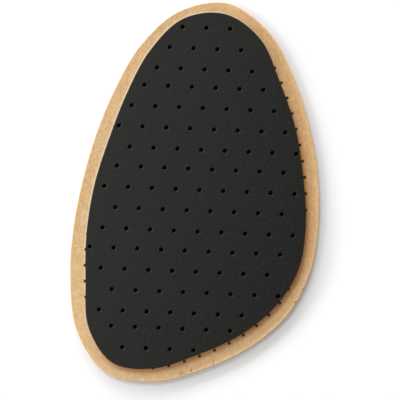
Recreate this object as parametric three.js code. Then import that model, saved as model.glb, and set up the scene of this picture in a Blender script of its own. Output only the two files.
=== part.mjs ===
import * as THREE from "three";

// A half insole for the front of the right foot, in millimetres, with +Z up.
// It lies with its underside up: the leather cover is below and the foam pad is on top.
// +Y runs to the narrow end, which lies under the arch, and -Y to the wide end under the toes.
// The origin is the middle of the outline's box, on the surface that the leather rests on.

const insoleLength = 131.3;
const insoleWidth = 82.3;
const leatherThickness = 1.2;
const padThickness = 2.2;
const glueGap = 0.3;
const padMargin = 4.8;
const rimLift = 0.6;

const holeDiameter = 1.4;
const holePitch = 8;
const rowPitch = 7;
const rowSlant = 13.53;
const holeEdgeWall = 0.4;

const stepsPerPoint = 6;
const marginRings = 4;
const holeSides = 10;

// The cut edge of the leather, clockwise from the narrow tip as seen from above.
// across is a share of insoleWidth, and along is a share of insoleLength.
// margin is the strip of leather left bare beside the pad, as a share of padMargin.
// lift is how far the rim has curled up there, as a share of rimLift.
const outline = [
  { at: "narrow tip", across: -0.128, along: 0.5, margin: 0.77, lift: 0.4 },
  { at: "tip, outer side", across: 0.065, along: 0.459, margin: 0.77, lift: 0.45 },
  { at: "outer arch, rear", across: 0.209, along: 0.369, margin: 1.01, lift: 0.55 },
  { at: "outer arch, front", across: 0.326, along: 0.262, margin: 0.99, lift: 0.65 },
  { at: "outer waist", across: 0.416, along: 0.147, margin: 1.04, lift: 0.75 },
  { at: "outer ball", across: 0.476, along: 0.024, margin: 0.89, lift: 0.85 },
  { at: "widest place", across: 0.499, along: -0.104, margin: 0.84, lift: 0.95 },
  { at: "little toe", across: 0.456, along: -0.228, margin: 1.04, lift: 1.0 },
  { at: "fourth toe", across: 0.34, along: -0.335, margin: 1.08, lift: 1.0 },
  { at: "third toe", across: 0.186, along: -0.419, margin: 1.1, lift: 1.0 },
  { at: "second toe", across: 0.007, along: -0.484, margin: 0.95, lift: 0.9 },
  { at: "big toe", across: -0.192, along: -0.495, margin: 0.85, lift: 0.8 },
  { at: "big toe's corner", across: -0.351, along: -0.413, margin: 0.86, lift: 0.65 },
  { at: "inner ball, front", across: -0.433, along: -0.296, margin: 1.08, lift: 0.55 },
  { at: "inner ball, middle", across: -0.479, along: -0.171, margin: 0.97, lift: 0.45 },
  { at: "inner ball, rear", across: -0.498, along: -0.042, margin: 0.88, lift: 0.4 },
  { at: "inner waist", across: -0.497, along: 0.086, margin: 0.96, lift: 0.35 },
  { at: "inner arch, front", across: -0.473, along: 0.214, margin: 0.88, lift: 0.3 },
  { at: "inner arch, rear", across: -0.421, along: 0.338, margin: 0.75, lift: 0.3 },
  { at: "tip, inner side", across: -0.31, along: 0.446, margin: 0.59, lift: 0.35 },
];

// The foam sheet was perforated four rows at a stroke before the pad was cut from it.
// feed is the step from the last row of one stroke to the first of the next, as a share of rowPitch.
// slip is how far the stroke landed to the side, as a share of holePitch.
const punchStrokes = [
  { feed: 0, slip: 0 },
  { feed: 0.86, slip: 0 },
  { feed: 0.93, slip: 0 },
  { feed: 0.94, slip: 0 },
  { feed: 0.76, slip: 0.04 },
];
const rowsPerStroke = 4;
const firstRowPlace = 0.493;
const firstHoleShift = 0.297;

// One place near the outer edge was never punched through.
const blankPlaces = [{ row: 13, place: 3 }];

const padBase = leatherThickness + glueGap;

// The leather's corner points in order, with the local lift of the rim as their height.
function rimPoints() {
  return outline.map(
    (point) =>
      new THREE.Vector3(
        point.across * insoleWidth,
        point.along * insoleLength,
        point.lift * rimLift,
      ),
  );
}

// The pad's corner points: each rim point moved in, square to the line between its neighbours.
function padPoints(rim) {
  return rim.map((point, i) => {
    const before = rim[(i + rim.length - 1) % rim.length];
    const after = rim[(i + 1) % rim.length];
    const inward = new THREE.Vector3(after.y - before.y, before.x - after.x, 0).normalize();
    return point.clone().addScaledVector(inward, outline[i].margin * padMargin);
  });
}

// A smooth closed line through the points, sampled counterclockwise as seen from above.
function smoothLoop(points) {
  const curve = new THREE.CatmullRomCurve3(points, true, "catmullrom");
  const count = points.length * stepsPerPoint;
  const samples = [];
  for (let i = 0; i < count; i += 1) {
    samples.push(curve.getPoint(i / count));
  }
  return samples.reverse();
}

// The leather is one sheet: flat under the pad, then rising ever more steeply to its rim.
function leatherSheet(rimLoop, padLoop) {
  const count = rimLoop.length;
  const places = [];
  const faces = [];
  const ringStart = (ring, side) => (side * (marginRings + 1) + ring) * count;

  for (const height of [0, leatherThickness]) {
    for (let ring = 0; ring <= marginRings; ring += 1) {
      const share = ring / marginRings;
      for (let i = 0; i < count; i += 1) {
        const x = THREE.MathUtils.lerp(padLoop[i].x, rimLoop[i].x, share);
        const y = THREE.MathUtils.lerp(padLoop[i].y, rimLoop[i].y, share);
        places.push(x, y, height + rimLoop[i].z * share * share);
      }
    }
  }

  const underside = 0;
  const topside = 1;
  const flat = padLoop.map((point) => new THREE.Vector2(point.x, point.y));
  for (const [a, b, c] of THREE.ShapeUtils.triangulateShape(flat, [])) {
    const top = ringStart(0, topside);
    faces.push(top + a, top + b, top + c);
    faces.push(a, c, b);
  }
  for (let ring = 0; ring < marginRings; ring += 1) {
    for (let i = 0; i < count; i += 1) {
      const next = (i + 1) % count;
      for (const side of [underside, topside]) {
        const inner = ringStart(ring, side);
        const outer = ringStart(ring + 1, side);
        const quad = [inner + i, outer + i, outer + next, inner + next];
        const [a, b, c, d] = side === topside ? quad : quad.reverse();
        faces.push(a, b, c, a, c, d);
      }
    }
  }
  const lower = ringStart(marginRings, underside);
  const upper = ringStart(marginRings, topside);
  for (let i = 0; i < count; i += 1) {
    const next = (i + 1) % count;
    faces.push(lower + i, lower + next, upper + next);
    faces.push(lower + i, upper + next, upper + i);
  }

  const sheet = new THREE.BufferGeometry();
  sheet.setAttribute("position", new THREE.Float32BufferAttribute(places, 3));
  sheet.setIndex(faces);
  sheet.computeVertexNormals();
  return sheet;
}

// How far a point lies inside a closed loop, or a negative number where it lies outside.
function depthInside(loop, x, y) {
  const point = new THREE.Vector3(x, y, 0);
  const nearest = new THREE.Vector3();
  let inside = false;
  let depth = Infinity;
  loop.forEach((corner, i) => {
    const start = new THREE.Vector3(corner.x, corner.y, 0);
    const next = loop[(i + 1) % loop.length];
    const end = new THREE.Vector3(next.x, next.y, 0);
    new THREE.Line3(start, end).closestPointToPoint(point, true, nearest);
    depth = Math.min(depth, nearest.distanceTo(point));
    const crosses = start.y > y !== end.y > y;
    if (crosses && x < start.x + ((y - start.y) * (end.x - start.x)) / (end.y - start.y)) {
      inside = !inside;
    }
  });
  return inside ? depth : -depth;
}

// How far each row of holes lies from the middle of the insole, and how far it is shifted along.
function punchedRows() {
  const rows = [];
  let place = firstRowPlace * insoleLength;
  for (const stroke of punchStrokes) {
    for (let i = 0; i < rowsPerStroke; i += 1) {
      const step = i === 0 ? stroke.feed * rowPitch : rowPitch;
      place -= step;
      const stagger = rows.length % 2 === 0 ? 0 : holePitch / 2;
      rows.push({ place, shift: (firstHoleShift + stroke.slip) * holePitch + stagger });
    }
  }
  return rows;
}

// The middles of all the holes that fall whole on the pad.
function holeCentres(padLoop) {
  const slant = THREE.MathUtils.degToRad(rowSlant);
  const reach = Math.ceil(insoleLength / holePitch / 2);
  const centres = [];
  punchedRows().forEach((row, rowNumber) => {
    for (let place = -reach; place <= reach; place += 1) {
      const blank = blankPlaces.some((spot) => spot.row === rowNumber && spot.place === place);
      const run = row.shift + place * holePitch;
      const x = run * Math.cos(slant) - row.place * Math.sin(slant);
      const y = run * Math.sin(slant) + row.place * Math.cos(slant);
      const onPad = depthInside(padLoop, x, y) >= holeDiameter / 2 + holeEdgeWall;
      if (onPad && !blank) {
        centres.push(new THREE.Vector2(x, y));
      }
    }
  });
  return centres;
}

// The pad is cut square from the foam sheet, with every hole right through it.
function perforatedPad(padLoop) {
  const shape = new THREE.Shape(padLoop.map((point) => new THREE.Vector2(point.x, point.y)));
  for (const centre of holeCentres(padLoop)) {
    const hole = new THREE.Path();
    hole.absarc(centre.x, centre.y, holeDiameter / 2, 0, 2 * Math.PI, false);
    shape.holes.push(hole);
  }
  return new THREE.ExtrudeGeometry(shape, {
    depth: padThickness,
    bevelEnabled: false,
    curveSegments: holeSides / 2,
  });
}

function tannedLeather() {
  return new THREE.MeshStandardMaterial({ color: 0xd9ae7c, roughness: 0.8, metalness: 0 });
}

function blackFoam() {
  return new THREE.MeshStandardMaterial({ color: 0x2b2b29, roughness: 0.9, metalness: 0 });
}

function leatherCover(rimLoop, padLoop) {
  const cover = new THREE.Mesh(leatherSheet(rimLoop, padLoop), tannedLeather());
  cover.name = "leather_cover";
  return cover;
}

function foamPad(padLoop) {
  const pad = new THREE.Mesh(perforatedPad(padLoop), blackFoam());
  pad.name = "foam_pad";
  pad.position.z = padBase;
  return pad;
}

function insole() {
  const rim = rimPoints();
  const rimLoop = smoothLoop(rim);
  const padLoop = smoothLoop(padPoints(rim));
  const group = new THREE.Group();
  group.name = "insole";
  group.add(leatherCover(rimLoop, padLoop), foamPad(padLoop));
  return group;
}

export default insole();
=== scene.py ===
# %% [markdown]
# # A half insole, lying with its underside up
#
# The object is a half insole for the front of a foot: a sheet of tan leather, with a pad of
# perforated black foam glued under it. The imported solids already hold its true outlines,
# thicknesses and holes. This lesson reads those, builds each piece again with finer rims,
# and gives each surface the finish of the real material.

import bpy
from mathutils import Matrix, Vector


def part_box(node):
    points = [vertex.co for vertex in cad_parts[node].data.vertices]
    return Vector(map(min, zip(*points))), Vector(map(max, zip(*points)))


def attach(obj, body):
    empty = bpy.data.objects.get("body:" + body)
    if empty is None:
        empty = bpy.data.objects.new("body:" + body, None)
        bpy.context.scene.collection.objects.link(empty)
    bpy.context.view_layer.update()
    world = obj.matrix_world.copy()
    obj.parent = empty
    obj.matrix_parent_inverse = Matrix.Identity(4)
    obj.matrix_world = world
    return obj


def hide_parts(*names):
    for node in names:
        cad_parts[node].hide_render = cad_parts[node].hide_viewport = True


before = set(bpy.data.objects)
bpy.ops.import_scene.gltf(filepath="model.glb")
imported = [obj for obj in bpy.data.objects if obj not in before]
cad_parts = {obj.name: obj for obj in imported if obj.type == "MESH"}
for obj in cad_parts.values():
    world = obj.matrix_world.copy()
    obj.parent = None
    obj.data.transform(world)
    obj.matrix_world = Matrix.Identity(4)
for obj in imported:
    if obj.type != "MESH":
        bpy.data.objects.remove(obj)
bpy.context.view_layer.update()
print("nodes:", ", ".join(sorted(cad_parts)))

# %% Import the rest and name the unit
import math

import bmesh
import bpy
from mathutils import Matrix, Vector, geometry, kdtree

MM = 0.001
UP = Vector((0, 0, 1))

# %% [markdown]
# ## Reading the outlines
#
# The solids are faceted, with a corner about every 3 mm, which would show as flats along the
# rim. Instead of storing a second outline, the lesson takes a welded copy of each solid,
# finds the edges where its top meets an upright wall, and joins them into loops. A smooth
# curve through each loop's corners then gives as many points as a close view needs.
#
# All modelling is done in millimetres, because the tools that fill and bevel use tolerances
# that suit lengths near 1. A finished mesh is brought back to metres.

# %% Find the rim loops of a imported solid
weld_distance = 0.001

# The upward part of a face's normal: below the first on an upright wall, and above the
# second on a flat.
upright_slope = 0.1
level_slope = 0.5


def welded_copy(node):
    """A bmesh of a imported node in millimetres, its loose triangles joined at their corners."""
    solid = bmesh.new()
    solid.from_mesh(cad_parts[node].data)
    bmesh.ops.scale(solid, verts=solid.verts, vec=(1 / MM, 1 / MM, 1 / MM))
    bmesh.ops.remove_doubles(solid, verts=solid.verts, dist=weld_distance)
    solid.normal_update()
    return solid


def top_rim_edges(solid):
    """The edges where a face that looks up meets an upright wall."""
    found = []
    for edge in solid.edges:
        slopes = sorted(face.normal.z for face in edge.link_faces)
        if len(slopes) == 2 and abs(slopes[0]) < upright_slope and slopes[1] > level_slope:
            found.append(edge)
    return found


def closed_loops(edges):
    """The edges joined end to end, as closed loops of points."""
    neighbours = {}
    for edge in edges:
        a, b = edge.verts
        neighbours.setdefault(a, []).append(b)
        neighbours.setdefault(b, []).append(a)
    loops = []
    while neighbours:
        corner = next(iter(neighbours))
        loop = []
        while corner is not None:
            loop.append(corner.co.copy())
            onward = [other for other in neighbours.pop(corner) if other in neighbours]
            corner = onward[0] if onward else None
        loops.append(loop)
    return loops


# %% Put a loop in order and make it smooth
def middle(points):
    """The mean of some points."""
    return sum(points, Vector((0, 0, 0))) / len(points)


def from_the_tip(loop):
    """The loop counterclockwise from above, starting at the insole's narrow tip."""
    turns = zip(loop, loop[1:] + loop[:1])
    area = sum(a.x * b.y - b.x * a.y for a, b in turns)
    if area < 0:
        loop = loop[::-1]
    start = max(range(len(loop)), key=lambda i: loop[i].y)
    return loop[start:] + loop[:start]


def smooth_loop(loop, parts):
    """A smooth closed curve through the loop's corners, with some parts to each side.

    A corner's handles are parallel to the line between its two neighbours and a sixth as
    long, so that the curve runs through the corner without a kink.
    """
    fine = []
    for i, here in enumerate(loop):
        before = loop[i - 1]
        after = loop[(i + 1) % len(loop)]
        beyond = loop[(i + 2) % len(loop)]
        leave = here + (after - before) / 6
        arrive = after - (beyond - here) / 6
        fine += geometry.interpolate_bezier(here, leave, arrive, after, parts + 1)[:-1]
    return fine


# %% Read the two outlines and the pad's holes
outline_parts = 4

leather_solid = welded_copy("leather_cover")
leather_rim = from_the_tip(closed_loops(top_rim_edges(leather_solid))[0])
leather_solid.free()

pad_solid = welded_copy("foam_pad")
pad_loops = sorted(closed_loops(top_rim_edges(pad_solid)), key=len)
pad_solid.free()
pad_rim = from_the_tip(pad_loops.pop())
pad_holes = [middle(loop) for loop in pad_loops]
hole_radius = max((corner - pad_holes[0]).length for corner in pad_loops[0])

leather_outline = smooth_loop(leather_rim, outline_parts)
pad_outline = smooth_loop(pad_rim, outline_parts)
print(f"leather: {len(leather_rim)} corners, smoothed to {len(leather_outline)}")
print(f"pad: {len(pad_rim)} corners, and {len(pad_holes)} holes of {2 * hole_radius:.2f} mm")

# %% [markdown]
# ## The curl of the leather's rim
#
# Leather that was glued flat and has dried curls up where nothing holds it. The packed
# solid's rim gives how far, all the way round. Inside it the sheet sinks ever more gently,
# and under the pad it is flat. One function gives that height for any place, so that every
# vertex of the new sheet can be lifted by it.

# %% Work out the height of the leather
leather_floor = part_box("leather_cover")[0].z / MM
pad_floor, pad_top = (corner.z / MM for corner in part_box("foam_pad"))
leather_thickness = 1.2
leather_top = leather_floor + leather_thickness


def flat(point):
    """The same place at height zero."""
    return Vector((point.x, point.y, 0))


def tree_of(points):
    """A lookup of the nearest of some points, seen from above."""
    tree = kdtree.KDTree(len(points))
    for i, point in enumerate(points):
        tree.insert(flat(point), i)
    tree.balance()
    return tree


rim_tree = tree_of(leather_outline)
pad_tree = tree_of(pad_outline)
rim_lifts = [point.z - leather_top for point in leather_outline]
rim_margins = [pad_tree.find(flat(point))[2] for point in leather_outline]


def lift_at(point):
    """How far the leather has curled up at a place."""
    _, nearest, inset = rim_tree.find(flat(point))
    share = max(0.0, 1 - inset / rim_margins[nearest])
    return rim_lifts[nearest] * share**2


print(f"rim lift {min(rim_lifts):.2f} to {max(rim_lifts):.2f} mm")
print(f"margin {min(rim_margins):.1f} to {max(rim_margins):.1f} mm")

# %% [markdown]
# ## Tools for a punched sheet
#
# Both pieces are sheets that were cut out with a die and punched. A sheet could be a plane
# with boolean cuts, but those leave long slivers and hard rims. Here the outline becomes one
# face that is extruded to a block, and a hole's wall is a small profile spun round the
# hole's middle. The flat between the outline and the holes is then filled with triangles.

# %% Make a block from an outline
def is_vertex(item):
    """Whether an item of a bmesh result is a vertex."""
    return isinstance(item, bmesh.types.BMVert)


def block(outline, low, high):
    """A closed block with that outline, from one height to another."""
    body = bmesh.new()
    base = body.faces.new([body.verts.new((point.x, point.y, low)) for point in outline])
    grown = bmesh.ops.extrude_face_region(body, geom=[base], use_keep_orig=True)
    risen = [item for item in grown["geom"] if is_vertex(item)]
    bmesh.ops.translate(body, verts=risen, vec=(0, 0, high - low))
    bmesh.ops.recalc_face_normals(body, faces=body.faces)
    return body


def cap(body, height):
    """The many-sided face at that height."""
    level = []
    for face in body.faces:
        if abs(face.calc_center_median().z - height) < weld_distance:
            level.append(face)
    return max(level, key=lambda face: len(face.verts))


def round_rim(body, height, radius, segments):
    """Rounds the rim of the cap at that height."""
    bmesh.ops.bevel(
        body,
        geom=cap(body, height).edges[:],
        offset=radius,
        offset_type="OFFSET",
        affect="EDGES",
        segments=segments,
        profile=0.5,
        material=-1,
        clamp_overlap=True,
    )


def inset_cap(body, height, steps):
    """Insets the cap again and again, and returns the faces of the last ring."""
    ring = []
    for step in steps:
        made = bmesh.ops.inset_region(
            body, faces=[cap(body, height)], thickness=step, use_even_offset=True
        )
        ring = made["faces"]
    return ring


# %% Punch holes and fill the flat between them
def spun_wall(profile, sides, finish):
    """A mesh of one hole's wall: a profile of radii and heights, spun round the Z axis.

    The finish is a function that gives the material of a face by its height.
    """
    wall = bmesh.new()
    line = [wall.verts.new((radius, 0, height)) for radius, height in profile]
    edges = [wall.edges.new(pair) for pair in zip(line, line[1:])]
    bmesh.ops.spin(
        wall,
        geom=line + edges,
        cent=(0, 0, 0),
        axis=UP,
        angle=2 * math.pi,
        steps=sides,
        use_merge=True,
    )
    bmesh.ops.remove_doubles(wall, verts=wall.verts, dist=weld_distance)
    for face in wall.faces:
        face.material_index = finish(face.calc_center_median().z)
    mesh = bpy.data.meshes.new("hole wall")
    wall.to_mesh(mesh)
    wall.free()
    return mesh


def punch(body, centres, wall):
    """Stamps a copy of a hole's wall round each centre."""
    for centre in centres:
        wall.transform(Matrix.Translation(flat(centre)))
        body.from_mesh(wall)
        wall.transform(Matrix.Translation(-flat(centre)))
    bpy.data.meshes.remove(wall)


def fill_flat(body, height, facing):
    """Fills the open edges at that height with triangles."""
    rims = [
        edge
        for edge in body.edges
        if edge.is_boundary and all(abs(v.co.z - height) < weld_distance for v in edge.verts)
    ]
    made = bmesh.ops.triangle_fill(body, edges=rims, use_beauty=True, normal=facing)
    return [item for item in made["geom"] if isinstance(item, bmesh.types.BMFace)]


def finished_object(body, name):
    """Turns a bmesh in millimetres into an object in metres, with its faces pointing out."""
    bmesh.ops.remove_doubles(body, verts=body.verts, dist=weld_distance)
    bmesh.ops.recalc_face_normals(body, faces=body.faces)
    open_edges = sum(1 for edge in body.edges if not edge.is_manifold)
    bmesh.ops.scale(body, verts=body.verts, vec=(MM, MM, MM))
    mesh = bpy.data.meshes.new(name)
    body.to_mesh(mesh)
    body.free()
    made = bpy.data.objects.new(name, mesh)
    bpy.context.scene.collection.objects.link(made)
    mesh.calc_loop_triangles()
    print(f"{name}: {len(mesh.loop_triangles)} triangles, {open_edges} open edges")
    return made


# %% [markdown]
# ## The foam pad
#
# The pad is a die-cut slab of latex foam. The die leaves its rim a little rounded, because
# the soft foam bulges back after the cut. The punch leaned a little as it went in, so at
# one side of each hole it has dragged the skin down into a dished lip, which catches the
# light. The film of glue under the foam closes the holes at their base, so they are
# modelled as pits. A cloth simulation would only swell the slab, so it is modelled directly.

# %% Shape the pad's holes
pad_rim_radius = 0.22
lip_width = 0.3
lip_depth = 0.22
lip_spacing = 0.06
punch_lean = Vector((0.7, -0.39, 0))
hole_sides = 24

# The curve of the lip, from its outer rim: shares of its width, and of its depth.
lip_steps = [(1.0, 0.0), (0.6, 0.2), (0.3, 0.5), (0.1, 0.8), (0.0, 1.0)]

CAST, CUT_WALL, PIT = range(3)


def lip_at(centre):
    """How wide the lip of a hole can be, as there is less room beside the pad's rim."""
    room = pad_tree.find(flat(centre))[2] - hole_radius - pad_rim_radius - lip_spacing
    return min(lip_width, room / (1 + punch_lean.length))


def pit_profile(lip):
    """The section of one hole: its dished lip, its wall and its base."""
    profile = [(hole_radius + out * lip, pad_top - down * lip_depth) for out, down in lip_steps]
    profile.append((hole_radius, pad_floor))
    profile.append((0, pad_floor))
    return profile


def pit_finish(height):
    """The lip of a hole has the cast skin, and its depth is dark."""
    return CAST if height > pad_top - lip_depth else PIT


def pit_wall(lip):
    """The wall of one hole, its lip drawn out to the side that the punch leaned to."""
    wall = spun_wall(pit_profile(lip), hole_sides, pit_finish)
    for vertex in wall.vertices:
        out = flat(vertex.co).length - hole_radius
        vertex.co += punch_lean * max(0.0, out)
    return wall


print(f"lips {min(map(lip_at, pad_holes)):.2f} to {max(map(lip_at, pad_holes)):.2f} mm wide")

# %% Build the foam pad
pad_foot_radius = 0.1
pad_clearance = 0.02
quad_corners = 4


def build_pad():
    """The slab with rounded rims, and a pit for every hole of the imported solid."""
    base = leather_top + pad_clearance
    body = block(pad_outline, base, pad_top)
    round_rim(body, pad_top, pad_rim_radius, segments=4)
    round_rim(body, base, pad_foot_radius, segments=1)
    bmesh.ops.delete(body, geom=[cap(body, pad_top)], context="FACES")
    for face in body.faces:
        face.material_index = CUT_WALL if abs(face.normal.z) < level_slope else CAST
    for centre in pad_holes:
        punch(body, [centre], pit_wall(lip_at(centre)))
    # The rims and walls are quads and triangles, and the flat base has many corners.
    for face in body.faces:
        face.smooth = len(face.verts) <= quad_corners
    for face in fill_flat(body, pad_top, UP):
        face.smooth = False
        face.material_index = CAST
    return finished_object(body, "perforated_foam_pad")


foam_pad = build_pad()
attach(foam_pad, "root")
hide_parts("foam_pad")

# %% [markdown]
# ## The row of small holes in the leather
#
# A row of small holes runs all round, a few millimetres in from the leather's edge, and the
# pad's edge half covers it. The holes are evenly spaced along a line that is parallel to
# the rim. In the photograph that line lies a little off centre, as if the leather had
# shifted under the punch.

# %% Place the row of small holes
row_inset = 4.75
row_shift = Vector((0.28, 0.0, 0))
row_count = 57

# Where the row starts, and how far its spacing wanders, as shares of the row's length.
row_start = 0.006
row_drift = 0.0026


def inward_line(outline, inset):
    """The outline moved in by a distance, square to itself."""
    moved = []
    for i, point in enumerate(outline):
        along = flat(outline[(i + 1) % len(outline)] - outline[i - 1]).normalized()
        moved.append(flat(point) + UP.cross(along) * inset)
    return moved


def places_along(line, shares):
    """The points that lie at some shares of a closed line's length."""
    closed = line + line[:1]
    reached = [0.0]
    for a, b in zip(closed, closed[1:]):
        reached.append(reached[-1] + (b - a).length)
    places = []
    for share in sorted(share % 1 for share in shares):
        target = share * reached[-1]
        i = next(i for i, length in enumerate(reached) if length > target) - 1
        part = (target - reached[i]) / (reached[i + 1] - reached[i])
        places.append(closed[i].lerp(closed[i + 1], part))
    return places, reached[-1]


def row_shares():
    """The share of the row's length at which each small hole lies."""
    shares = [row_start + i / row_count for i in range(row_count)]
    return [share + row_drift * math.cos(2 * math.pi * share) for share in shares]


row_places, row_length = places_along(inward_line(leather_outline, row_inset), row_shares())
small_holes = [place + row_shift for place in row_places]
print(f"{len(small_holes)} small holes, {row_length / row_count:.2f} mm apart")

# %% [markdown]
# ## The leather cover
#
# The leather is one sheet, cut with a clicker die, so its edge is square with a slightly
# worn corner. Its margin is built as rings of quads that follow the rim, because only there
# does it curl. The small holes lie in a flat band inside those rings, and the middle of the
# sheet, under the pad, is one flat face on each side.

# %% Shape the small holes
small_hole_radius = 0.52
small_hole_foot = 0.4
small_hole_lip = 0.06
small_hole_depth = 0.35
small_hole_sides = 16

FLESH, GRAIN, CUT, PUNCHED = range(4)


def small_hole_profile():
    """The section of one small hole, which narrows and stops part of the way down."""
    return [
        (small_hole_radius + small_hole_lip, leather_top),
        (small_hole_radius, leather_top - small_hole_lip),
        (small_hole_foot, leather_top - small_hole_depth),
        (0, leather_top - small_hole_depth),
    ]


def small_hole_finish(_):
    """A small hole is dark brown all over, from its lip to its base: painted shade."""
    return PUNCHED


print(f"small holes {2 * small_hole_radius:.2f} mm wide and {small_hole_depth:.2f} mm deep")

# %% Tell the surfaces of the leather apart
edge_wear = 0.14


def face_finish(face):
    """The material of one face of the leather, by where it lies and which way it looks."""
    if face.material_index == PUNCHED:
        return PUNCHED
    if rim_tree.find(flat(face.calc_center_median()))[2] < edge_wear:
        return CUT
    return FLESH if face.normal.z > 0 else GRAIN


def keep_holes_crisp(body):
    """Marks the rims of the small holes sharp, so that their slope doesn't shade the flat."""
    for edge in body.edges:
        finishes = {face.material_index for face in edge.link_faces}
        edge.smooth = not (PUNCHED in finishes and len(finishes) == 2)


def from_pad(point):
    """How far a place lies outside the pad's outline, or a negative length inside it."""
    corner, nearest, distance = pad_tree.find(flat(point))
    along = pad_outline[(nearest + 1) % len(pad_outline)] - pad_outline[nearest - 1]
    outward = flat(along).cross(UP)
    return math.copysign(distance, outward.dot(flat(point) - corner))


# %% Build the leather cover
edge_fold = 0.15

# The widths of the rings in the margin, from the rim inwards, and of the band after them.
margin_steps = [0.06, 0.34, 0.5, 0.6, 0.7, 0.8]
band_width = 2.7


def build_leather():
    """The sheet with its rings, its row of small holes and its curled rim."""
    body = block(leather_outline, leather_floor, leather_top)
    round_rim(body, leather_top, edge_wear, segments=3)
    round_rim(body, leather_floor, edge_fold, segments=2)
    inset_cap(body, leather_floor, margin_steps + [band_width])
    inset_cap(body, leather_top, margin_steps)
    band = inset_cap(body, leather_top, [band_width])
    bmesh.ops.delete(body, geom=band, context="FACES")
    wall = spun_wall(small_hole_profile(), small_hole_sides, small_hole_finish)
    punch(body, small_holes, wall)
    fill_flat(body, leather_top, UP)
    bmesh.ops.recalc_face_normals(body, faces=body.faces)
    for face in body.faces:
        face.smooth = True
        face.material_index = face_finish(face)
    keep_holes_crisp(body)
    beside_pad = body.verts.layers.float.new("from_pad")
    for vertex in body.verts:
        vertex[beside_pad] = from_pad(vertex.co)
        vertex.co.z += lift_at(vertex.co)
    return finished_object(body, "leather_sheet")


leather = build_leather()
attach(leather, "root")
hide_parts("leather_cover")

# %% [markdown]
# ## The camera
#
# The photograph looks straight down, from so far that both layers have one scale. Its 400
# pixels cover 134.6 mm, and the insole lies turned in it by 16 degrees.

# %% Set up the camera
photo_side = 134.56 * MM
photo_turn = math.radians(16.0)
photo_middle = Vector((-1.22 * MM, -0.45 * MM, 2.5 * MM))
camera_distance = 1.5

camera_data = bpy.data.cameras.new("camera")
camera_data.sensor_width = 36
camera_data.lens = camera_data.sensor_width * camera_distance / photo_side
camera_data.clip_end = 10
camera = bpy.data.objects.new("camera", camera_data)
camera.location = photo_middle + UP * camera_distance
camera.rotation_euler = (0, 0, photo_turn)
bpy.context.scene.collection.objects.link(camera)
bpy.context.scene.camera = camera
print(f"camera: {camera_data.lens:.0f} mm lens")

# %% [markdown]
# ## Materials
#
# Each finish is a small tree of nodes that reads the piece's own coordinates, so it stays
# with the surface. One function turns a hex colour, as read in a picture, into the linear
# light that the nodes take. Another adds a node with its settings and its links.

# %% Two helpers for materials
def linear(hex_colour):
    """An sRGB hex colour as linear red, green, blue and alpha."""
    channels = [int(hex_colour[i : i + 2], 16) / 255 for i in (1, 3, 5)]
    light = [c / 12.92 if c <= 0.04045 else ((c + 0.055) / 1.055) ** 2.4 for c in channels]
    return (*light, 1.0)


def add(tree, kind, inputs=None, **settings):
    """Adds a node. Each input is a value, or another node's output to link."""
    node = tree.nodes.new(kind)
    for name, value in settings.items():
        setattr(node, name, value)
    for name, value in (inputs or {}).items():
        if isinstance(value, bpy.types.NodeSocket):
            tree.links.new(value, node.inputs[name])
        else:
            node.inputs[name].default_value = value
    return node


def new_material(name):
    """A material with an empty tree, and its own coordinates to build on."""
    material = bpy.data.materials.new(name)
    material.use_nodes = True
    tree = material.node_tree
    tree.nodes.clear()
    place = add(tree, "ShaderNodeTexCoord").outputs["Object"]
    return material, tree, place


def close_material(tree, shader):
    """Links the finished shader to the material's output."""
    add(tree, "ShaderNodeOutputMaterial", {"Surface": shader.outputs["BSDF"]})


def per_metre(size_in_mm):
    """The scale of a pattern whose marks are that many millimetres across."""
    return 1 / (size_in_mm * MM)


# %% Three patterns that the finishes share
photo_right = Vector((math.cos(photo_turn), math.sin(photo_turn), 0))
photo_up = UP.cross(photo_right)


def patches(tree, place, size, strength):
    """Soft patches of about that size in millimetres, as a factor from 0 to the strength."""
    noise = add(
        tree,
        "ShaderNodeTexNoise",
        {"Vector": place, "Scale": per_metre(size), "Detail": 3.0, "Roughness": 0.55},
    )
    spread = {"From Min": 0.36, "From Max": 0.64, "To Max": strength}
    shown = add(tree, "ShaderNodeMapRange", {"Value": noise.outputs["Fac"], **spread})
    return shown.outputs["Result"]


def drift(tree, place, toward, start, end, strength=1.0):
    """A factor that grows from 0 to the strength between two places along a direction, in mm."""
    along = add(
        tree,
        "ShaderNodeVectorMath",
        {0: place, 1: toward.normalized()},
        operation="DOT_PRODUCT",
    )
    span = {"From Min": start * MM, "From Max": end * MM, "To Max": strength}
    shown = add(tree, "ShaderNodeMapRange", {"Value": along.outputs["Value"], **span})
    return shown.outputs["Result"]


def fibres(tree, place, width, length):
    """Short fibres that lie along the insole, as a height from 0 to 1."""
    stretched = add(
        tree,
        "ShaderNodeMapping",
        {"Vector": place, "Scale": (per_metre(width), per_metre(length), per_metre(width))},
    )
    return add(
        tree,
        "ShaderNodeTexNoise",
        {"Vector": stretched.outputs["Vector"], "Scale": 1.0, "Detail": 2.0, "Roughness": 0.5},
    ).outputs["Fac"]
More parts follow.
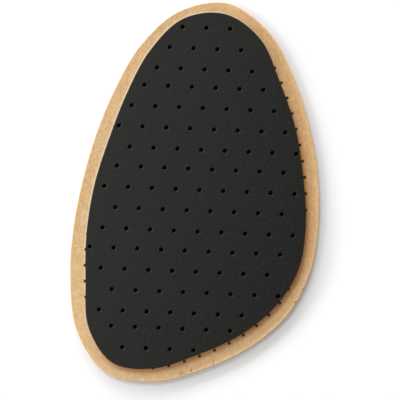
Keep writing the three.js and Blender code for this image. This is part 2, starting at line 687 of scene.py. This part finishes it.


# %% [markdown]
# ## Black latex foam
#
# The pad is cut from a sheet of latex foam that was cast between plates, so its face has a
# skin of closed cells: black and nearly matt, with a fine grain. The punch dragged that skin
# down into the lips. Where the die cut it, the cells are open and scatter more light, so the
# pad's wall is a little paler than its face. The depth of a hole is painted nearly black,
# darker than the same foam on the wall, as painted shade.

# %% Latex foam, the cast face
def cast_face():
    """The cast skin of latex foam: nearly matt, with a fine grain of half a millimetre."""
    material, tree, place = new_material("latex foam, cast skin, black")
    # Painted shade: the black grows darker towards the lower right, standing in for light that
    # falls off across the pad.
    painted_falloff_tone = add(
        tree,
        "ShaderNodeMix",
        {
            "Factor": drift(tree, place, photo_right - photo_up * 0.3, start=-50, end=40),
            "A": linear("#242422"),
            "B": linear("#090907"),
        },
        data_type="RGBA",
    )
    tone = add(
        tree,
        "ShaderNodeMix",
        {
            "Factor": patches(tree, place, size=0.9, strength=0.5),
            "A": painted_falloff_tone.outputs["Result"],
            "B": linear("#232321"),
        },
        data_type="RGBA",
    )
    cells = add(
        tree,
        "ShaderNodeTexVoronoi",
        {"Vector": place, "Scale": per_metre(0.5), "Randomness": 1.0},
        feature="SMOOTH_F1",
    )
    waves = add(
        tree,
        "ShaderNodeTexNoise",
        {"Vector": place, "Scale": per_metre(3.2), "Detail": 2.0},
    )
    slack = add(
        tree,
        "ShaderNodeBump",
        {"Height": waves.outputs["Fac"], "Distance": 0.08 * MM, "Strength": 1.0},
    )
    relief = add(
        tree,
        "ShaderNodeBump",
        {
            "Height": cells.outputs["Distance"],
            "Distance": 0.13 * MM,
            "Strength": 1.0,
            "Normal": slack.outputs["Normal"],
        },
    )
    shader = add(
        tree,
        "ShaderNodeBsdfPrincipled",
        {
            "Base Color": tone.outputs["Result"],
            "Roughness": 0.62,
            "Specular IOR Level": 0.2,
            "Normal": relief.outputs["Normal"],
        },
    )
    close_material(tree, shader)
    return material


# %% Latex foam, the cut cells
def cut_cells(name, deep, pale):
    """Cut latex foam: open cells with deep hollows and paler rims.

    Its cells are drawn 0.3 mm across, which is coarse for latex foam, so that they show.
    """
    material, tree, place = new_material(f"latex foam, {name}, black")
    cells = add(
        tree,
        "ShaderNodeTexVoronoi",
        {"Vector": place, "Scale": per_metre(0.3), "Randomness": 1.0},
        feature="SMOOTH_F1",
    )
    tone = add(
        tree,
        "ShaderNodeMix",
        {"Factor": cells.outputs["Distance"], "A": linear(deep), "B": linear(pale)},
        data_type="RGBA",
    )
    relief = add(
        tree,
        "ShaderNodeBump",
        {"Height": cells.outputs["Distance"], "Distance": 0.06 * MM, "Strength": 1.0},
    )
    shader = add(
        tree,
        "ShaderNodeBsdfPrincipled",
        {
            "Base Color": tone.outputs["Result"],
            "Roughness": 0.9,
            "Specular IOR Level": 0.15,
            "Normal": relief.outputs["Normal"],
        },
    )
    close_material(tree, shader)
    return material


cut_wall = cut_cells("cut wall", deep="#20201f", pale="#363633")
# Painted shade: the foam inside a hole is far darker than the same foam on the wall, standing in
# for the shade of the hole's depth.
painted_dark_pit = cut_cells("painted shade inside a hole", deep="#060606", pale="#0e0e0e")
for made in (cast_face(), cut_wall, painted_dark_pit):
    foam_pad.data.materials.append(made)
print("foam:", ", ".join(made.name for made in foam_pad.data.materials))

# %% [markdown]
# ## The leather's flesh side
#
# The side that shows is the flesh side of vegetable-tanned leather: the inner face of the
# hide, where the fibres were split. It has no shine and no pores. Its colour is a light tan
# that wanders between yellowish and pinkish within a millimetre or two, short loose fibres
# lie on it, and it has taken a few stains. Beside the pad a band is painted: a paler line on
# the inner side, which is painted light, and a browner one on the outer side and at the toes,
# which is painted shade.

# %% List the stains on the margin
# A place, and a length and width, are in millimetres in the part's frame. A turn is in degrees.
stains = [
    {"at": (9.0, -58.2), "size": (2.4, 1.2), "turn": 20, "hex": "#c68a46", "strength": 0.7},
    {"at": (11.8, -56.5), "size": (0.9, 0.5), "turn": 100, "hex": "#85582b", "strength": 0.85},
    {"at": (18.1, -51.6), "size": (2.6, 0.45), "turn": 100, "hex": "#a3774a", "strength": 0.85},
    {"at": (16.6, -51.8), "size": (2.2, 1.2), "turn": 30, "hex": "#e9ab88", "strength": 0.7},
    {"at": (13.6, -54.8), "size": (1.8, 1.0), "turn": 30, "hex": "#e9ab88", "strength": 0.6},
    {"at": (-3.3, -64.0), "size": (1.6, 1.2), "turn": 0, "hex": "#f4dcba", "strength": 0.8},
    {"at": (40.4, -19.8), "size": (0.7, 0.5), "turn": 0, "hex": "#755430", "strength": 0.85},
    {"at": (39.2, -24.7), "size": (0.8, 0.6), "turn": 0, "hex": "#755430", "strength": 0.85},
]
print(f"{len(stains)} stains")


# %% Mottle the tan of the flesh side
def mottled_tan(tree, place):
    """The colour of split tan hide, with fine yellow and pink patches, over drifts of painted
    light and shade.
    """
    # Painted light: the tan is lighter towards the lower right, where the pad's shade falls.
    hide = add(
        tree,
        "ShaderNodeMix",
        {
            "Factor": drift(tree, place, photo_right - photo_up, start=-30, end=60),
            "A": linear("#d5b589"),
            "B": linear("#ffd8a2"),
        },
        data_type="RGBA",
    )
    # Painted shade: the tan is warmer towards the right, where the pad's shade falls.
    painted_warm_shade = drift(tree, place, photo_right + photo_up * 0.3, start=5, end=45, strength=0.75)
    colour = add(
        tree,
        "ShaderNodeMix",
        {"Factor": painted_warm_shade, "A": hide.outputs["Result"], "B": linear("#e9b067")},
        data_type="RGBA",
    )
    layers = (
        {"size": 2.2, "strength": 0.25, "hex": "#cb9a60"},
        {"size": 1.3, "strength": 0.4, "hex": "#e8ac7c"},
        {"size": 0.8, "strength": 0.5, "hex": "#f6deb2"},
        {"size": 0.4, "strength": 0.3, "hex": "#c19059"},
    )
    for layer in layers:
        colour = add(
            tree,
            "ShaderNodeMix",
            {
                "Factor": patches(tree, place, layer["size"], layer["strength"]),
                "A": colour.outputs["Result"],
                "B": linear(layer["hex"]),
            },
            data_type="RGBA",
        )
    return colour


# %% Lay the stains over it
noise_middle = (0.5, 0.5, 0.5)
raggedness = 0.5


def stained(tree, place, colour):
    """The colour with every stain of the list laid over it, their edges a little ragged.

    A stain is solid over half its reach, and has faded away a little beyond its own size.
    """
    ragged = add(
        tree,
        "ShaderNodeTexNoise",
        {"Vector": place, "Scale": per_metre(0.7), "Detail": 2.0},
    )
    shift = add(
        tree,
        "ShaderNodeVectorMath",
        {0: ragged.outputs["Color"], 1: noise_middle},
        operation="SUBTRACT",
    )
    warped = add(
        tree,
        "ShaderNodeVectorMath",
        {0: shift.outputs["Vector"], 1: (raggedness * MM, raggedness * MM, 0), 2: place},
        operation="MULTIPLY_ADD",
    )
    for stain in stains:
        x, y = stain["at"]
        length, width = stain["size"]
        local = add(
            tree,
            "ShaderNodeMapping",
            {
                "Vector": warped.outputs["Vector"],
                "Location": (x * MM, y * MM, 0),
                "Rotation": (0, 0, math.radians(stain["turn"])),
                "Scale": (length / 2 * MM, width / 2 * MM, 1),
            },
            vector_type="TEXTURE",
        )
        reach = add(tree, "ShaderNodeVectorMath", {0: local.outputs["Vector"]}, operation="LENGTH")
        fade = {"From Min": 1.3, "From Max": 0.5, "To Max": stain["strength"]}
        factor = add(tree, "ShaderNodeMapRange", {"Value": reach.outputs["Value"], **fade})
        colour = add(
            tree,
            "ShaderNodeMix",
            {
                "Factor": factor.outputs["Result"],
                "A": colour.outputs["Result"],
                "B": linear(stain["hex"]),
            },
            data_type="RGBA",
        )
    return colour


# %% Paint light and shade beside the pad
def painted_light_and_shade_line(tree, colour, side, reach, strength, shade):
    """The colour with a painted band that fades out from the pad, on one side of the insole."""
    beside_pad = add(tree, "ShaderNodeAttribute", attribute_name="from_pad")
    limits = {"From Min": reach, "From Max": 0.1, "To Max": strength}
    line = add(tree, "ShaderNodeMapRange", {"Value": beside_pad.outputs["Fac"], **limits})
    factor = add(
        tree,
        "ShaderNodeMath",
        {0: line.outputs["Result"], 1: side},
        operation="MULTIPLY",
    )
    return add(
        tree,
        "ShaderNodeMix",
        {
            "Factor": factor.outputs["Value"],
            "A": colour.outputs["Result"],
            "B": linear(shade),
        },
        data_type="RGBA",
    )


# %% Leather, flesh side
def flesh_side():
    """The flesh side of vegetable-tanned leather: matt, napped and mottled.

    Its loose fibres are far finer than 0.28 mm, and are drawn that wide so that they show.
    """
    material, tree, place = new_material("vegetable-tanned leather, flesh side")
    colour = stained(tree, place, mottled_tan(tree, place))
    strands = fibres(tree, place, width=0.28, length=1.8)
    shades = (
        {"low": 0.5, "high": 0.3, "strength": 0.35, "hex": "#bb8f5c"},
        {"low": 0.55, "high": 0.75, "strength": 0.35, "hex": "#f0d6a8"},
    )
    for shade in shades:
        limits = {"From Min": shade["low"], "From Max": shade["high"], "To Max": shade["strength"]}
        factor = add(tree, "ShaderNodeMapRange", {"Value": strands, **limits})
        colour = add(
            tree,
            "ShaderNodeMix",
            {
                "Factor": factor.outputs["Result"],
                "A": colour.outputs["Result"],
                "B": linear(shade["hex"]),
            },
            data_type="RGBA",
        )
    lit_side_of_pad = drift(tree, place, photo_right - photo_up * 0.5, start=-6, end=-24)
    shaded_side_of_pad = drift(tree, place, photo_right - photo_up * 0.8, start=0, end=14)
    # Painted light: a pale line beside the pad on its lit side. Painted shade: a brown line beside
    # it on its shaded side.
    colour = painted_light_and_shade_line(tree, colour, lit_side_of_pad, reach=0.9, strength=0.7, shade="#f6dfba")
    colour = painted_light_and_shade_line(tree, colour, shaded_side_of_pad, reach=1.9, strength=0.7, shade="#cf8543")
    nap = add(
        tree,
        "ShaderNodeTexNoise",
        {"Vector": place, "Scale": per_metre(0.3), "Detail": 3.0, "Roughness": 0.6},
    )
    lay = add(tree, "ShaderNodeBump", {"Height": strands, "Distance": 0.05 * MM, "Strength": 1.0})
    relief = add(
        tree,
        "ShaderNodeBump",
        {
            "Height": nap.outputs["Fac"],
            "Distance": 0.05 * MM,
            "Strength": 1.0,
            "Normal": lay.outputs["Normal"],
        },
    )
    shader = add(
        tree,
        "ShaderNodeBsdfPrincipled",
        {
            "Base Color": colour.outputs["Result"],
            "Roughness": 0.9,
            "Specular IOR Level": 0.15,
            "Subsurface Weight": 0.12,
            "Subsurface Radius": (1.0, 0.4, 0.12),
            "Subsurface Scale": 0.8 * MM,
            "Normal": relief.outputs["Normal"],
        },
    )
    close_material(tree, shader)
    return material


# %% [markdown]
# ## The leather's other finishes
#
# The grain side lies face down. It is the smooth outer face of the hide, closed and a
# little glossy, with fine pores and creases. The cut edge shows the bare fibres in layers,
# coloured darker and greyer than the flesh side, which is painted shade. The small holes
# were punched and stop part of the way down; their dark brown is painted shade of a hole's
# depth.

# %% Leather, grain side
def grain_side():
    """The grain side of vegetable-tanned leather: closed and a little glossy, with pores."""
    material, tree, place = new_material("vegetable-tanned leather, grain side")
    colour = add(
        tree,
        "ShaderNodeMix",
        {
            "Factor": patches(tree, place, size=9.0, strength=1.0),
            "A": linear("#c08a55"),
            "B": linear("#cf9c68"),
        },
        data_type="RGBA",
    )
    pores = add(
        tree,
        "ShaderNodeTexVoronoi",
        {"Vector": place, "Scale": per_metre(0.8), "Randomness": 1.0},
    )
    pore = add(
        tree,
        "ShaderNodeMapRange",
        {"Value": pores.outputs["Distance"], "From Min": 0.22, "From Max": 0.08},
    )
    toned = add(
        tree,
        "ShaderNodeMix",
        {
            "Factor": pore.outputs["Result"],
            "A": colour.outputs["Result"],
            "B": linear("#9c6a3a"),
        },
        data_type="RGBA",
    )
    pits = add(
        tree,
        "ShaderNodeBump",
        {"Height": pore.outputs["Result"], "Distance": 0.03 * MM, "Strength": 1.0},
        invert=True,
    )
    creases = add(
        tree,
        "ShaderNodeTexVoronoi",
        {"Vector": place, "Scale": per_metre(1.3), "Randomness": 1.0},
        feature="DISTANCE_TO_EDGE",
    )
    relief = add(
        tree,
        "ShaderNodeBump",
        {
            "Height": creases.outputs["Distance"],
            "Distance": 0.04 * MM,
            "Strength": 1.0,
            "Normal": pits.outputs["Normal"],
        },
    )
    shader = add(
        tree,
        "ShaderNodeBsdfPrincipled",
        {
            "Base Color": toned.outputs["Result"],
            "Roughness": 0.5,
            "Specular IOR Level": 0.4,
            "Normal": relief.outputs["Normal"],
        },
    )
    close_material(tree, shader)
    return material


# %% Leather, cut edge
def cut_edge():
    """The cut edge of vegetable-tanned leather: bare fibres in layers along the sheet."""
    material, tree, place = new_material("vegetable-tanned leather, cut edge")
    layers = add(
        tree,
        "ShaderNodeMapping",
        {"Vector": place, "Scale": (per_metre(0.6), per_metre(0.6), per_metre(0.15))},
    )
    fibre_ends = add(
        tree,
        "ShaderNodeTexNoise",
        {"Vector": layers.outputs["Vector"], "Scale": 1.0, "Detail": 3.0, "Roughness": 0.6},
    )
    spread = add(
        tree,
        "ShaderNodeMapRange",
        {"Value": fibre_ends.outputs["Fac"], "From Min": 0.35, "From Max": 0.65},
    )
    # Painted shade: the edge is coloured darker and greyer than the flesh side, against the strong
    # light that the low boxes throw on it.
    colour = add(
        tree,
        "ShaderNodeMix",
        {"Factor": spread.outputs["Result"], "A": linear("#685842"), "B": linear("#86745a")},
        data_type="RGBA",
    )
    relief = add(
        tree,
        "ShaderNodeBump",
        {"Height": fibre_ends.outputs["Fac"], "Distance": 0.06 * MM, "Strength": 1.0},
    )
    shader = add(
        tree,
        "ShaderNodeBsdfPrincipled",
        {
            "Base Color": colour.outputs["Result"],
            "Roughness": 0.9,
            "Specular IOR Level": 0.15,
            "Normal": relief.outputs["Normal"],
        },
    )
    close_material(tree, shader)
    return material


# %% Leather, scorched holes
def small_hole_painted_dark():
    """Leather in a small hole: dark brown, which is painted shade of its depth, and dry."""
    material, tree, place = new_material("leather, small holes painted dark")
    colour = add(
        tree,
        "ShaderNodeMix",
        {
            "Factor": patches(tree, place, size=0.4, strength=1.0),
            "A": linear("#633918"),
            "B": linear("#8c5a2c"),
        },
        data_type="RGBA",
    )
    shader = add(
        tree,
        "ShaderNodeBsdfPrincipled",
        {"Base Color": colour.outputs["Result"], "Roughness": 0.85, "Specular IOR Level": 0.2},
    )
    close_material(tree, shader)
    return material


for made in (flesh_side(), grain_side(), cut_edge(), small_hole_painted_dark()):
    leather.data.materials.append(made)
print("leather:", ", ".join(made.name for made in leather.data.materials))

# %% [markdown]
# ## Floor and light
#
# The insole lies on white paper that is lit until it is pure white. The shadows say where
# the light stands: they fall to the lower right and reach far for so thin a thing. So the
# light comes in low, from a long bank of soft boxes that curves round the upper left, and
# an even surround fills the rest. The surround is a little warmer than the boxes, because
# in the photograph the leather's shaded side is the warmer one.

# %% Lay the floor
floor_size = 3000
floor_drop = 0.02

floor_body = bmesh.new()
bmesh.ops.create_grid(floor_body, x_segments=1, y_segments=1, size=floor_size / 2)
bmesh.ops.translate(floor_body, verts=floor_body.verts, vec=(0, 0, leather_floor - floor_drop))
floor = finished_object(floor_body, "floor")
floor_material, floor_tree, _ = new_material("white paper")
paper = add(floor_tree, "ShaderNodeBsdfDiffuse", {"Color": linear("#f4f5f6")})
close_material(floor_tree, paper)
floor.data.materials.append(floor_material)

# %% Light it
surround_strength = 0.36
light_distance = 8.0
bank_bearings = (90, 117, 145, 172)

bpy.context.scene.view_settings.view_transform = "Standard"
world = bpy.data.worlds.new("studio")
world.use_nodes = True
world.node_tree.nodes["Background"].inputs["Color"].default_value = linear("#fffaf2")
world.node_tree.nodes["Background"].inputs["Strength"].default_value = surround_strength
bpy.context.scene.world = world


def soft_box(name, bearing, elevation, width, height, watts):
    """A soft light, at a bearing counterclockwise from the photograph's right."""
    turn = math.radians(bearing) + photo_turn
    rise = math.radians(elevation)
    level = math.cos(rise)
    toward = Vector((math.cos(turn) * level, math.sin(turn) * level, math.sin(rise)))
    data = bpy.data.lights.new(name, "AREA")
    data.shape = "RECTANGLE"
    data.size = width
    data.size_y = height
    data.energy = watts
    data.color = linear("#fafcff")[:3]
    light = bpy.data.objects.new(name, data)
    light.location = toward * light_distance
    light.rotation_euler = toward.to_track_quat("Z", "Y").to_euler()
    bpy.context.scene.collection.objects.link(light)


for bearing in bank_bearings:
    soft_box(f"bank {bearing}", bearing, elevation=17.5, width=3.7, height=1.25, watts=258)
soft_box("key", bearing=118, elevation=50, width=2.0, height=2.0, watts=130)
soft_box("side", bearing=200, elevation=30, width=2.0, height=2.0, watts=112)
soft_box("overhead", bearing=118, elevation=88, width=2.0, height=2.0, watts=60)
print(f"lights: {len(bpy.data.lights)}")
